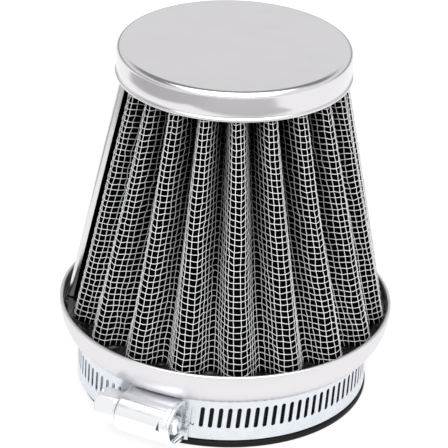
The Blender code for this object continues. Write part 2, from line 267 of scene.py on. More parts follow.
wire_metal, wire_shader = new_material("galvanised_drawn_wire", "#E6E6E6", 0.38, 0.5)
grey_patches = object_noise(wire_metal, 2.2, 3.0)
wire_tone = two_tones(wire_metal, grey_patches.outputs["Fac"], "#F0F0F0", "#FFFFFF")
# Painted shade: the wires' colour goes dark towards the valleys, following the fold value per vertex.
valley = add_node(wire_metal, "ShaderNodeAttribute", {"attribute_name": "fold"})
valley_shade_tone = two_tones(wire_metal, valley.outputs["Fac"], "#FFFFFF", "#3A3A3A", 0.25, 0.85)
shaded_wire_colour = add_node(
    wire_metal,
    "ShaderNodeMix",
    {"data_type": "RGBA", "blend_type": "MULTIPLY"},
    {"Factor": 1.0, "A": wire_tone, "B": valley_shade_tone},
)
link(wire_metal, shaded_wire_colour.outputs["Result"], wire_shader, "Base Color")
wire_gloss = spread(wire_metal, grey_patches.outputs["Fac"], 0.28, 0.45)
link(wire_metal, wire_gloss, wire_shader, "Roughness")
metals = (chrome, satin_chrome, zinc, bright_zinc, wire_metal)
print("metals:", [metal.name for metal in metals])

# %% [markdown]
# ## Cloth, rubber and resin
# The filter cloth is a matt black felt. Its fibres are far finer than a millimetre, too fine to
# show, so they are drawn as a faint grey mottle half a millimetre across. The rubber is moulded:
# satin, with a fine grain. The potting resin is cast: it set with a glossy skin over a dark
# brown-grey body.

# %% Soft and cast materials
cloth, cloth_shader = new_material(
    "black_felted_filter_cloth", "#050505", 1.0, 0.0, {"Specular IOR Level": 0.0}
)
fibres = object_noise(cloth, 0.55, 6.0)
fibre_tone = two_tones(cloth, fibres.outputs["Fac"], "#010101", "#090909", 0.35, 0.75)
link(cloth, fibre_tone, cloth_shader, "Base Color")
bumped(cloth, fibres.outputs["Fac"], 0.12, cloth_shader)

rubber, rubber_shader = new_material(
    "moulded_black_rubber", "#070708", 0.6, 0.0, {"Specular IOR Level": 0.22}
)
grain = object_noise(rubber, 0.5, 4.0)
link(rubber, two_tones(rubber, grain.outputs["Fac"], "#050506", "#0B0B0C"), rubber_shader, "Base Color")
link(rubber, spread(rubber, grain.outputs["Fac"], 0.48, 0.66), rubber_shader, "Roughness")
bumped(rubber, grain.outputs["Fac"], 0.02, rubber_shader)

resin, resin_shader = new_material("cast_potting_resin", "#2A2625", 0.18, 0.0)
swirl = object_noise(resin, 3.5, 3.0)
link(resin, two_tones(resin, swirl.outputs["Fac"], "#090808", "#1A1817"), resin_shader, "Base Color")
link(resin, spread(resin, swirl.outputs["Fac"], 0.12, 0.3), resin_shader, "Roughness")
bumped(resin, swirl.outputs["Fac"], 0.08, resin_shader)
print("others:", [m.name for m in (cloth, rubber, resin)])

# %% [markdown]
# ## Turned pieces
# The cap, the bowl, the rubber neck and the clamp's band share one axis. A turned piece is a
# profile of (radius, height) points carried round Z. Round stretches of a profile are arcs, and a
# profile that begins and ends on the axis is closed there with a fan of triangles.

# %% Profiles and turning


def point_at(azimuth, radius, height):
    """Point at an angle in radians from -Y towards +X, a radius and a height."""
    azimuth, radius, height = np.broadcast_arrays(azimuth, radius, height)
    return np.stack([radius * np.sin(azimuth), -radius * np.cos(azimuth), height], axis=-1)


def arc(centre, radii, start, end, count):
    """centre + (a cos t, b sin t), t from start to end in degrees."""
    t = np.radians(np.linspace(start, end, count))
    return np.stack([centre[0] + radii[0] * np.cos(t), centre[1] + radii[1] * np.sin(t)], axis=1)


def turned_mesh(name, profile, steps=240):
    """Points (r sin a, -r cos a, z) for each profile point (r, z) and each angle a."""
    profile = np.concatenate([np.atleast_2d(np.asarray(p, float)) for p in profile])
    angles = 2.0 * math.pi * np.arange(steps) / steps
    on_axis = profile[0, 0] == 0.0
    rings = profile[1:-1] if on_axis else profile
    points = point_at(angles[None, :], rings[:, :1], rings[:, 1:]).reshape(-1, 3)
    groups = [grid_faces(len(rings), steps, not on_axis, True)]
    if on_axis:
        poles = len(points) + np.array([0, 1])
        points = np.concatenate([points, point_at(0.0, profile[[0, -1], 0], profile[[0, -1], 1])])
        i = np.arange(steps)
        j = (i + 1) % steps
        last = (len(rings) - 1) * steps
        groups.append(np.stack([np.full(steps, poles[0]), j, i], axis=1))
        groups.append(np.stack([np.full(steps, poles[1]), last + i, last + j], axis=1))
    return make_mesh(name, points, groups)


def top_corner(node):
    """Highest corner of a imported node's box, in millimetres: its outer radius twice, and its top."""
    return np.array(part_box(node)[1]) / MM


print("top corners:", {node: top_corner(node).round(2).tolist() for node in ("top_cap", "bottom_rim")})

# %% [markdown]
# ## The cap
# The cap is pressed from one disc of thin steel: a flat face, a rounded shoulder, a straight skirt,
# and a lip rolled outwards below a shallow crease. The shoulder is what draws the thin dark and
# white lines round the face, because its normals sweep past the whole sky in a millimetre.

# %% Cap
CAP_LIP_RADIUS, _, CAP_TOP = top_corner("top_cap")
CAP_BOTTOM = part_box("top_cap")[0][2] / MM
CAP_RADIUS = CAP_LIP_RADIUS - 0.25
CAP_SHEET = 0.6
SHOULDER = 1.45
LIP = 0.55
lip_centre = (CAP_LIP_RADIUS - LIP, CAP_BOTTOM + LIP)
crease_height = CAP_BOTTOM + 2.0 * LIP + 0.12
cap_profile = [
    (0.0, CAP_TOP),
    (CAP_RADIUS * 0.5, CAP_TOP),
    arc((CAP_RADIUS - SHOULDER, CAP_TOP - SHOULDER), (SHOULDER, SHOULDER), 90.0, 0.0, 18),
    (CAP_RADIUS, crease_height + 2.4),
    (CAP_RADIUS, crease_height + 0.25),
    (CAP_RADIUS - 0.1, crease_height + 0.04),
    arc(lip_centre, (LIP, LIP), 62.0, -90.0, 14),
    (CAP_RADIUS - CAP_SHEET, CAP_BOTTOM + 0.3),
    arc((CAP_RADIUS - SHOULDER, CAP_TOP - SHOULDER), (SHOULDER - CAP_SHEET,) * 2, 0.0, 90.0, 8),
    (0.0, CAP_TOP - CAP_SHEET),
]
add_piece("pressed_cap", turned_mesh("pressed_cap", cap_profile), chrome, "filter", ["top_cap"])

# %% [markdown]
# ## The bowl
# The lower rim is a pressed bowl: nearly upright at its edge, then rounding in towards the neck.
# Its section is a quarter of an ellipse. The edge is hemmed, so it ends in a small round bead.

# %% Bowl
RIM_RADIUS, _, RIM_TOP = top_corner("bottom_rim")
BOWL_CENTRE = 34.4
BOWL_HEIGHT = 9.3
RIM_SHEET = 0.6
HEM = 0.45
MOUTH_ANGLE = -78.3


def bowl_arc(inset, start, end, count):
    """Quarter ellipse of the bowl's section, sunk by inset."""
    radii = (RIM_RADIUS - BOWL_CENTRE - inset, BOWL_HEIGHT - inset)
    return arc((BOWL_CENTRE, RIM_TOP), radii, start, end, count)


hem_centre = (RIM_RADIUS - HEM, RIM_TOP - HEM)
bowl_profile = [
    arc(hem_centre, (HEM, HEM), 180.0, 0.0, 16),
    bowl_arc(0.0, -5.0, MOUTH_ANGLE, 40),
    bowl_arc(RIM_SHEET, MOUTH_ANGLE, -12.0, 24),
]
bowl_mesh = turned_mesh("pressed_bowl", bowl_profile)
add_piece("pressed_bowl", bowl_mesh, satin_chrome, "filter", ["bottom_rim"])

# %% [markdown]
# ## The rubber neck
# The neck is moulded in one piece with a flange that fills the bowl's floor and a bead round its
# mouth that stops the clamp from sliding off. Mould edges are never sharp, so each corner is an arc.

# %% Rubber neck
BAND_OUTER, _, BAND_TOP = top_corner("clamp_band")
BAND_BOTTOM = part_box("clamp_band")[0][2] / MM
BORE = 30.0
NECK_RADIUS = 33.65
BEAD_RADIUS = 34.75
BEAD_HEIGHT = 1.8
FLANGE_TOP = top_corner("rubber_base")[2]
flange_bottom = BAND_TOP + 0.3
neck_profile = [
    arc((BORE + 0.6, 0.6), (0.6, 0.6), 180.0, 270.0, 6),
    arc((BEAD_RADIUS - 0.7, 0.7), (0.7, 0.7), -90.0, 0.0, 8),
    arc((BEAD_RADIUS - 0.6, BEAD_HEIGHT - 0.6), (0.6, 0.6), 0.0, 90.0, 8),
    (NECK_RADIUS, BEAD_HEIGHT + 0.1),
    (NECK_RADIUS, flange_bottom),
    bowl_arc(RIM_SHEET + 0.3, -71.0, -35.0, 10),
    (BORE, FLANGE_TOP),
]
add_piece("moulded_neck", turned_mesh("moulded_neck", neck_profile), rubber, "filter", ["rubber_base"])

# %% [markdown]
# ## The pleated sheet as a function of two parameters
# Gauze, cloth and seam all follow one surface. Its first parameter, phase, counts pleats round the
# filter; the second, level, runs from 0 at the foot to 1 at the cap. The fold is a power of
# (1 - cos) / 2, so crests are broad and valleys narrow. A rectangle of gauze has one length, so
# the pleats are deep and close at the top and shallow and wide at the foot. The ring of pleats was
# potted by hand and sits 0.6 mm off the axis.

# %% Pleated surface
PLEATS = 19
SEAM_AZIMUTH = -109.3
FOOT = 19.9
HEAD = 81.2
CREST_FOOT = 37.9
CREST_HEAD = 25.7
DEPTH_FOOT = 4.8
DEPTH_HEAD = 7.5
FAN_CENTRE = -35.0
FAN_HEAD = -5.6
FAN_FOOT = 3.15
SHARP_FOOT = 1.35
SHARP_HEAD = 1.9
SEAM_PINCH = 0.5
SWAY = 0.6
SWAY_AZIMUTH = 72.0


def pleat(phase, level, sink=0.0):
    """Point whose azimuth grows with phase and is fanned out from FAN_CENTRE towards the foot;
    its radius is crest - depth * ((1 - cos 2 pi phase) / 2) ** sharpness - sink."""
    phase, level = np.broadcast_arrays(np.asarray(phase, float), np.asarray(level, float))
    nearest = np.round(phase)
    away = phase - nearest
    at_seam = np.mod(nearest, PLEATS) == 0
    pinched = np.sign(away) * 0.5 * (np.abs(away) / 0.5) ** SEAM_PINCH
    away = np.where(at_seam, pinched, away)
    sharpness = SHARP_FOOT + (SHARP_HEAD - SHARP_FOOT) * level
    wander = 0.5 * np.sin(2.1 * nearest + 4.0 * level) * np.sin(math.pi * level)
    fold = ((1.0 - np.cos(2.0 * math.pi * away)) / 2.0) ** sharpness
    even = SEAM_AZIMUTH + 360.0 / PLEATS * phase
    even = even + np.where(at_seam, 0.0, wander * np.cos(math.pi * away))
    fan = FAN_HEAD * level + FAN_FOOT * (1.0 - level)
    azimuth = np.radians(even + fan * np.sin(np.radians(even - FAN_CENTRE)))
    crest = CREST_HEAD * level + CREST_FOOT * (1.0 - level)
    depth = DEPTH_HEAD * level + DEPTH_FOOT * (1.0 - level)
    centred = point_at(azimuth, crest - depth * fold - sink, HEAD * level + FOOT * (1.0 - level))
    return centred + SWAY * point_at(math.radians(SWAY_AZIMUTH), 1.0, 0.0)


def pleat_normal(phase, level):
    """Unit cross product of the surface's two directions, pointing out of the filter."""
    step = 0.004
    along = pleat(phase + step, level) - pleat(phase - step, level)
    upward = pleat(phase, level + step) - pleat(phase, level - step)
    crossed = np.cross(along, upward)
    return crossed / np.linalg.norm(crossed, axis=-1, keepdims=True)


dense_phase = np.linspace(0.0, PLEATS, 4001)
middle_curve = pleat(dense_phase, 0.5)
walked = np.concatenate([[0.0], np.cumsum(np.linalg.norm(np.diff(middle_curve, axis=0), axis=1))])
slant = float(np.linalg.norm(pleat(0.0, 1.0) - pleat(0.0, 0.0)))
print(f"sheet: {walked[-1]:.0f} mm round the folds, {slant:.1f} mm up the slant")

# %% [markdown]
# ## Woven wire gauze
# The gauze is real wire here, not a picture of wire: upright wires and crossing wires of 0.16 mm on
# a pitch of about 1.48 mm. They are spaced by length along the folds, so the mesh stays square on
# crests and in valleys. The gauze's cut edges stop short of the seam, where a stripe of black cloth
# shows beside the steel strip.

# %% Where the wires run
WIRE_RADIUS = 0.08
WIRE_PITCH = 1.48
WEAVE = 0.10
UPRIGHTS = 2 * int(round(walked[-1] / WIRE_PITCH / 2.0))
CROSSINGS = int(round(slant / WIRE_PITCH))
CUT_BACK = 0.17


def wire_phases(count):
    """Phases that cut the sheet's folded length into equal steps, from one cut edge to the other."""
    first, last = np.interp([CUT_BACK, PLEATS - CUT_BACK], dense_phase, walked)
    return np.interp(np.linspace(first, last, count), walked, dense_phase)


def slow_waves(across, upward, size):
    """Sum of five sine waves over the sheet, their phases and directions drawn by chance."""
    total = np.zeros(np.broadcast(across, upward).shape)
    for _ in range(5):
        turns = CHANCE.integers(9, 90)
        rise = CHANCE.uniform(4.0, 26.0)
        start = CHANCE.uniform(0.0, 2.0 * math.pi)
        total = total + np.sin(2.0 * math.pi * turns * across + rise * upward + start)
    return size * total / 5.0


def between(values):
    """Values along a wire with the mean of each neighbouring pair put in between."""
    woven = np.empty((len(values), 2 * values.shape[1] - 1))
    woven[:, ::2] = values
    woven[:, 1::2] = (values[:, 1:] + values[:, :-1]) / 2.0
    return woven


print(f"{UPRIGHTS} upright wires, {CROSSINGS - 1} crossing wires")

# %% [markdown]
# ## Wires as tubes
# A wire is a tube carried along its row of points, and all wires of one direction are one mesh.
# Five sides are enough for something thinner than a fifth of a millimetre. A second helper stores
# how deep in a fold each wire lies, for the painted shade that darkens it there.

# %% Tubes


def wire_mesh(name, centres, out, radius, sides):
    """Round tubes along rows of points: centre + radius (cos t out + sin t side)."""
    ahead = np.gradient(centres, axis=1)
    side = np.cross(out, ahead)
    side /= np.linalg.norm(side, axis=-1, keepdims=True)
    out = np.cross(ahead, side)
    out /= np.linalg.norm(out, axis=-1, keepdims=True)
    t = 2.0 * math.pi * np.arange(sides) / sides
    ring = np.cos(t)[:, None] * out[:, :, None, :] + np.sin(t)[:, None] * side[:, :, None, :]
    points = centres[:, :, None, :] + radius * ring
    wires, stations = centres.shape[:2]
    first = np.arange(wires)[:, None] * stations * sides
    tube = grid_faces(stations, sides, False, True)
    faces = (tube[None] + first[:, :, None]).reshape(-1, 4)
    start = first + np.arange(sides)[::-1]
    end = first + (stations - 1) * sides + np.arange(sides)
    return make_mesh(name, points, [faces, np.concatenate([start, end])])


# Painted shade: how far a wire's colour is darkened, most in the valleys' deep ends.
def painted_valley_shade(phase, level):
    """0 on crests and at the foot, 1 in the valleys' upper ends:
    level ** 0.7 (1 - cos 2 pi phase) / 2."""
    return np.clip(level, 0.0, 1.0) ** 0.7 * (1.0 - np.cos(2.0 * math.pi * phase)) / 2.0


def paint(mesh, name, values):
    """Store one number per vertex under a name that a material can read."""
    layer = mesh.attributes.new(name, "FLOAT", "POINT")
    layer.data.foreach_set("value", np.asarray(values, np.float32).ravel())


print("painted valley shade at a crest and in a valley's head:", painted_valley_shade(0.0, 1.0), painted_valley_shade(0.5, 1.0))

# %% [markdown]
# ## Weaving
# Hand pleating pulls the mesh about, so every crossing is moved a little by slow waves and by
# chance. Both sets of wires read the same table of crossings, so they still meet, and each wire
# passes over one and under the next. The inner gauze lies behind the cloth, where it is hardly seen,
# so it is made with fewer points.

# %% Gauze


def gauze(name, sink, sides, fine, node):
    """Upright and crossing wires of one gauze, from one shared table of crossings."""
    phase = wire_phases(UPRIGHTS)[:, None]
    level = ((np.arange(CROSSINGS + 1) - 0.25) / CROSSINGS)[None, :]
    size = (UPRIGHTS, CROSSINGS + 1)
    phases = phase + slow_waves(phase / PLEATS, level, 0.018) + CHANCE.normal(0.0, 0.004, size)
    levels = level + slow_waves(phase / PLEATS, level, 0.0055) + CHANCE.normal(0.0, 0.0011, size)
    over = np.where(np.add.outer(np.arange(size[0]), np.arange(size[1])) % 2 == 0, 1.0, -1.0)
    rows = slice(1, CROSSINGS)
    tables = {
        "uprights": (phases, levels, over),
        "crossings": (phases[:, rows].T, levels[:, rows].T, -over[:, rows].T),
    }
    for kind, table in tables.items():
        if fine:
            table = [between(values) for values in table]
        phase, level, weave = table
        normal = pleat_normal(phase, level)
        centres = pleat(phase, level, sink) + normal * (weave * WEAVE)[..., None]
        mesh = wire_mesh(f"{name}_{kind}", centres, normal, WIRE_RADIUS, sides)
        # The fold value per vertex drives the painted shade in the valleys.
        paint(mesh, "fold", np.repeat(painted_valley_shade(phase, level).ravel(), sides))
        add_piece(f"{name}_{kind}", mesh, wire_metal, "filter", [node])


gauze("outer_gauze", 0.2, 5, True, "outer_gauze")
gauze("inner_gauze", 3.2, 4, False, "inner_gauze")

# %% [markdown]
# ## The filter cloth
# Behind the gauze lies the cloth, pleated with it: two skins of the same surface, joined at the
# foot and the head.

# %% Cloth


def pleated_shell(name, sink, thickness, across=16, up=24):
    """Two sheets of the pleated surface, sunk by sink and sink + thickness, joined into a ring."""
    phase = np.arange(PLEATS * across) / across
    level = np.linspace(-0.012, 1.0, up)[:, None]
    outer = pleat(phase[None, :], level, sink)
    inner = pleat(phase[None, :], level, sink + thickness)[::-1]
    points = np.concatenate([outer, inner])
    return make_mesh(name, points, [grid_faces(len(points), points.shape[1], True, True)])


add_piece("pleated_cloth", pleated_shell("pleated_cloth", 0.6, 1.7), cloth, "filter", ["filter_media"])

# %% [markdown]
# ## Potting resin
# The resin was poured into the bowl round the pleats' feet and set there, so its top is almost
# level, creeps up the bowl's wall and the cloth in a meniscus, and is not quite smooth.

# %% Resin bed
BED_BOTTOM = FLANGE_TOP + 0.3
BED_TOP = BED_BOTTOM + 2.3
foot_curve = pleat(dense_phase, 0.0)
foot_azimuth = np.arctan2(foot_curve[:, 0], -foot_curve[:, 1])
foot_radius = np.hypot(foot_curve[:, 0], foot_curve[:, 1])
foot_order = np.argsort(foot_azimuth)


def resin_bed(name, around=480, across=26):
    """Ring whose top is level + wall and pleat menisci + slow waves, over a flat underside."""
    azimuth = -math.pi + 2.0 * math.pi * np.arange(around) / around
    near_pleat = np.interp(azimuth, foot_azimuth[foot_order], foot_radius[foot_order])
    wall = bowl_arc(RIM_SHEET + 0.02, -28.0, -10.0, 40)
    outer_radius = float(np.interp(BED_TOP, wall[:, 1], wall[:, 0]))
    radius = np.linspace(BORE, outer_radius, across)[:, None]
    climb = 0.7 * np.exp(-(outer_radius - radius) / 0.45)
    climb = climb + 0.45 * np.exp(-((radius - near_pleat) / 0.55) ** 2)
    waves = 0.12 * np.sin(9.0 * azimuth + 1.1 * radius) + 0.08 * np.sin(23.0 * azimuth - 2.3 * radius)
    top = point_at(azimuth[None, :], radius, BED_TOP - 0.25 + climb + waves)
    low_wall = bowl_arc(RIM_SHEET + 0.3, -33.0, -31.0, 1)[0, 0]
    low = point_at(azimuth[None, :], np.array([[low_wall], [BORE]]), BED_BOTTOM)
    points = np.concatenate([top, low])
    return make_mesh(name, points, [grid_faces(len(points), around, True, True)])


add_piece("poured_resin", resin_bed("poured_resin"), resin, "filter", ["base_resin"])
frame["nodes"]["cap_resin"].data.materials.clear()
frame["nodes"]["cap_resin"].data.materials.append(resin)

# %% [markdown]
# ## The seam strip
# One pleat holds the two ends of the sheet, pinched together by a folded channel of chromed steel.
# The channel is a section with rounded corners carried along that pleat's straight crest.

# %% Seam strip
STRIP_WIDTH = 4.4
STRIP_LEG = 1.5
STRIP_SHEET = 0.5
STRIP_CORNER = 0.8


def strip_section():
    """U-shaped outline with rounded outer corners, as (across, outward) points."""
    half = STRIP_WIDTH / 2.0
    top = 0.3 + STRIP_SHEET
    reach = half - STRIP_CORNER
    bore = STRIP_CORNER - STRIP_SHEET
    foot = top - STRIP_LEG
    parts = [
        [(half, foot)],
        arc((reach, top - STRIP_CORNER), (STRIP_CORNER,) * 2, 0.0, 90.0, 10),
        arc((-reach, top - STRIP_CORNER), (STRIP_CORNER,) * 2, 90.0, 180.0, 10),
        [(-half, foot), (-half + STRIP_SHEET, foot)],
        arc((-reach, top - STRIP_CORNER), (bore, bore), 180.0, 90.0, 6),
        arc((reach, top - STRIP_CORNER), (bore, bore), 90.0, 0.0, 6),
        [(half - STRIP_SHEET, foot)],
    ]
    return np.concatenate([np.asarray(p, float) for p in parts])


def strip_mesh(name, stations=24):
    """The section carried from the foot of the seam's crest to its head, both ends closed."""
    section = strip_section()
    spine = pleat(np.zeros(stations), np.linspace(-0.005, 1.0, stations))
    outward = spine * np.array([1.0, 1.0, 0.0])
    outward /= np.linalg.norm(outward, axis=1, keepdims=True)
    across = np.stack([-outward[:, 1], outward[:, 0], np.zeros(stations)], axis=1)
    points = spine[:, None] + section[:, :1] * across[:, None] + section[:, 1:] * outward[:, None]
    count = len(section)
    pair = np.arange(count // 2 - 1)
    cap = np.stack([pair, pair + 1, count - 2 - pair, count - 1 - pair], axis=1)
    groups = [grid_faces(stations, count, False, True), cap[:, ::-1], cap + (stations - 1) * count]
    return make_mesh(name, points, groups)


add_piece("seam_channel", strip_mesh("seam_channel"), chrome, "filter", ["seam_strip"], 35.0)

# %% [markdown]
# ## The slotted clamp band
# The band is a strip of zinc plated steel with a row of slots for the worm's thread, cut right
# through. One cell of the strip is a slot with round ends inside a border of the same number of
# points, so the sheet between the two is a ring of quads.

# %% Slot and border
SLOTS_PER_TURN = 101
SLOT_HEIGHT = 5.4
SLOT_SHARE = 0.46
SLOT_LEAN = 0.09
CLAMP_AZIMUTH = -45.0
ROUND_STEPS = 6


def cell_outlines(radius, bottom, top):
    """Slot outline (two half circles joined by straight sides, leaned) and border, as two rings
    of (arc length, height) about a cell's middle."""
    half_cell = math.pi * radius / SLOTS_PER_TURN
    half_slot = SLOT_SHARE * half_cell
    middle = (top + bottom) / 2.0
    reach = SLOT_HEIGHT / 2.0 - half_slot
    upper = arc((0.0, reach), (half_slot, half_slot), 0.0, 180.0, ROUND_STEPS + 1)
    lower = arc((0.0, -reach), (half_slot, half_slot), 180.0, 360.0, ROUND_STEPS + 1)
    slot = np.concatenate([upper, lower])
    slot[:, 0] += SLOT_LEAN * slot[:, 1]
    across = np.linspace(half_cell, -half_cell, ROUND_STEPS - 1)
    half = (top - bottom) / 2.0
    border = np.concatenate([
        [(half_cell, reach)],
        np.stack([across, np.full(len(across), half)], axis=1),
        [(-half_cell, reach), (-half_cell, -reach)],
        np.stack([across[::-1], np.full(len(across), -half)], axis=1),
        [(half_cell, -reach)],
    ])
    return slot + (0.0, middle), border + (0.0, middle)


print(f"slot pitch {2.0 * math.pi * BAND_OUTER / SLOTS_PER_TURN:.3f} mm")

# %% [markdown]
# ## The strip, all cells at once
# Each cell's slot is joined to its border on both skins, and walls join the skins through the slot.
# A plain cell has its slot plugged instead. Shared corners are merged, so the strip is one closed
# mesh. The same function makes the loop and the free tail, which lies over the loop and slopes
# down a little. A narrow bevel catches the light along the cut edges.

# %% Band and tail


def slotted_strip(name, cells, slotted, radii, bottom, top, slope=0.0):
    """Strip of cells bent to the radii, each cell plain or with its slot open; its height changes by
    slope millimetres per radian away from the clamp."""
    azimuth = np.radians(CLAMP_AZIMUTH + 360.0 / SLOTS_PER_TURN * (cells + 0.5))[:, None]
    rings = []
    for radius in radii:
        for outline in cell_outlines(radius, bottom, top):
            turn = azimuth + outline[None, :, 0] / radius
            height = outline[None, :, 1] + slope * (turn - math.radians(CLAMP_AZIMUTH))
            rings.append(point_at(turn, radius, height))
    points = np.stack(rings, axis=1)
    count = points.shape[2]
    i = np.arange(count)
    j = (i + 1) % count
    slot_in, edge_in, slot_out, edge_out = (k * count for k in range(4))
    every = [
        np.stack([edge_out + i, edge_out + j, slot_out + j, slot_out + i], axis=1),
        np.stack([slot_in + i, slot_in + j, edge_in + j, edge_in + i], axis=1),
    ]
    k = ROUND_STEPS
    a = np.concatenate([np.arange(1, k - 1), np.arange(k + 2, 2 * k)])
    b = a + 1
    every.append(np.stack([edge_in + a, edge_in + b, edge_out + b, edge_out + a], axis=1))
    walls = np.stack([slot_out + i, slot_out + j, slot_in + j, slot_in + i], axis=1)
    u = np.arange(k)
    plug = np.stack([u, u + 1, 2 * k - u, 2 * k + 1 - u], axis=1)
    plain = np.concatenate([slot_out + plug, slot_in + plug[:, ::-1]])
    base = (np.arange(len(cells)) * 4 * count)[:, None, None]
    faces = [
        (np.concatenate(every)[None] + base).reshape(-1, 4),
        (walls[None] + base[slotted]).reshape(-1, 4),
        (plain[None] + base[~slotted]).reshape(-1, 4),
    ]
    if len(cells) < SLOTS_PER_TURN:
        right = np.array([2 * k, 2 * k + 1, 0, 1])
        left = np.array([k - 1, k, k + 1, k + 2])
        for side, number in ((right, len(cells) - 1), (left, 0)):
            a = edge_in + side[:-1]
            b = edge_in + side[1:]
            end = np.stack([a, b, b + 2 * count, a + 2 * count], axis=1)
            faces.append(end + base[number])
    merged, index = np.unique(np.round(points.reshape(-1, 3), 5), axis=0, return_inverse=True)
    return make_mesh(name, merged, [index.reshape(-1)[np.concatenate(faces)]])


def bevelled(piece, width, angle=35.0):
    """Narrow bevel on edges sharper than an angle, with the flats' normals kept."""
    bevel = piece.modifiers.new("cut_edges", "BEVEL")
    bevel.width = width * MM
    bevel.segments = 2
    bevel.limit_method = "ANGLE"
    bevel.angle_limit = math.radians(angle)
    bevel.harden_normals = True


BAND_SHEET = 0.55
FIRST_OPEN = 3
FIRST_PLAIN = 74
TAIL_INNER = BAND_OUTER + 0.3
TAIL_SLOTS = 26
TAIL_SLOPE = 0.75
TAIL_BOTTOM, TAIL_TOP = (corner[2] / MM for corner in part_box("clamp_band_tail"))
loop_cells = np.arange(SLOTS_PER_TURN)
tail_cells = np.arange(-TAIL_SLOTS, 1)
loop_mesh = slotted_strip(
    "slotted_band",
    loop_cells,
    (loop_cells >= FIRST_OPEN) & (loop_cells < FIRST_PLAIN),
    (BAND_OUTER - BAND_SHEET, BAND_OUTER),
    BAND_BOTTOM,
    BAND_TOP,
)
tail_mesh = slotted_strip(
    "slotted_tail",
    tail_cells,
    tail_cells > -TAIL_SLOTS,
    (TAIL_INNER, TAIL_INNER + BAND_SHEET),
    TAIL_BOTTOM,
    TAIL_TOP,
    TAIL_SLOPE,
)
bevelled(add_piece("slotted_band", loop_mesh, zinc, "clamp", ["clamp_band"]), 0.07)
bevelled(add_piece("slotted_tail", tail_mesh, zinc, "tail", ["clamp_band_tail"]), 0.07)

# %% [markdown]
# ## The worm housing
# The housing is one pressed strip arched over the screw, so it is a section carried along the
# screw's axis, and that axis comes from the record's own hinge. Its head end is cut and
# tumbled round; its tip end is necked and then flared into a lip. A small triangle is stamped into it.

# %% Housing
screw_joint = [joint for joint in frame["joints"] if joint["name"] == "screw_turn"][0]
screw_place = np.array(screw_joint["pos_m"]) / MM
along_axis = np.array(screw_joint["axis"])
along_axis /= np.linalg.norm(along_axis)
upward = np.array([0.0, 0.0, 1.0])
outward = np.cross(upward, along_axis)
outward *= np.sign(outward @ screw_place)
HEAD_SIDE = -5.6
TIP_SIDE = 8.8
ARCH_RADIUS = 4.9
ARCH_SHEET = 0.75
FOOT_OUT = 35.75 - math.hypot(screw_place[0], screw_place[1])


def by_screw(out, up, along):
    """Point given outward, upward and along the screw's axis from the middle of the screw."""
    out, up, along = (values[..., None] for values in np.broadcast_arrays(out, up, along))
    return screw_place + out * outward + up * upward + along * along_axis


def smooth_step(value, low, high):
    """3 t t - 2 t t t, t running from 0 to 1 between low and high."""
    t = np.clip((value - low) / (high - low), 0.0, 1.0)
    return t * t * (3.0 - 2.0 * t)


def lip_growth(along):
    """Extra radius along the housing: rounded head end, neck, then flared and rounded lip."""
    head_round = -0.3 * (1.0 - smooth_step(along, HEAD_SIDE, HEAD_SIDE + 0.45))
    neck = -0.2 * np.exp(-((along - (TIP_SIDE - 1.25)) / 0.2) ** 2)
    lip = 0.3 * smooth_step(along, TIP_SIDE - 1.2, TIP_SIDE - 0.6)
    lip_round = -0.3 * smooth_step(along, TIP_SIDE - 0.3, TIP_SIDE)
    return head_round + neck + lip + lip_round


def stamp(along, rise):
    """1 inside a small upright triangle with its point up, 0 outside, with soft edges."""
    tall = 2.6
    half_width = 0.55 * np.clip((tall / 2.0 - rise) / tall, 0.0, 1.0)
    inside = smooth_step(half_width - np.abs(along), 0.0, 0.14)
    return inside * smooth_step(rise, -tall / 2.0, -tall / 2.0 + 0.15)


def housing_mesh(name, stations=130, arch_points=121):
    """Section foot, half circle, foot: radius = arch + lip growth - 0.4 stamp, carried along; the
    stamp is kept per vertex too, for the painted shade in it."""
    along = np.linspace(HEAD_SIDE, TIP_SIDE, stations)[:, None]
    turn = np.radians(np.linspace(-90.0, 90.0, arch_points))[None, :]
    growth = lip_growth(along)
    rise = ARCH_RADIUS * (turn - math.radians(17.0))
    stamped = stamp(along - (TIP_SIDE - 2.9), rise)
    mark = 0.4 * stamped
    skins = []
    for radius in (ARCH_RADIUS + growth - mark, ARCH_RADIUS - ARCH_SHEET + growth - mark):
        arch = by_screw(radius * np.cos(turn), radius * np.sin(turn), along)
        low = by_screw(np.full((stations, 1), FOOT_OUT), -radius[:, :1], along)
        high = by_screw(np.full((stations, 1), FOOT_OUT), radius[:, -1:], along)
        skins.append(np.concatenate([low, arch, high], axis=1))
    ring = np.concatenate([skins[0], skins[1][:, ::-1]], axis=1)
    count = ring.shape[1]
    pair = np.arange(count // 2 - 1)
    cap = np.stack([pair, pair + 1, count - 2 - pair, count - 1 - pair], axis=1)
    groups = [grid_faces(stations, count, False, True), cap[:, ::-1], cap + (stations - 1) * count]
    mesh = make_mesh(name, ring, groups)
    depth = np.zeros((stations, count))
    depth[:, 1:arch_points + 1] = stamped
    # The stamp per vertex drives the painted shade in the mark.
    paint(mesh, "stamped", depth)
    return mesh


add_piece("worm_housing", housing_mesh("worm_housing"), bright_zinc, "clamp", ["clamp_housing"], 40.0)

# %% [markdown]
# ## The housing's foot and saddle
# The housing is held by a foot folded under the band's lower edge, where its end shows as a small
# tab, and by a saddle under the band that closes the first two slots from behind. Both are plain
# plates bent to the band's circle, so one function makes them.

# %% Foot tab and saddle


def bent_tab(name, azimuths, radii, heights, steps=16):
    """Small plate bent to the band: a rectangle of radius and height carried over an angle."""
    angle = np.radians(np.linspace(*azimuths, steps))[:, None]
    radius = np.array([radii[0], radii[1], radii[1], radii[0]])[None, :]
    height = np.array([heights[0], heights[0], heights[1], heights[1]])[None, :]
    corners = point_at(angle, radius, height)
    ends = np.array([[3, 2, 1, 0], [0, 1, 2, 3]]) + np.array([[0], [4 * (steps - 1)]])
    return make_mesh(name, corners, [grid_faces(steps, 4, False, True), ends])


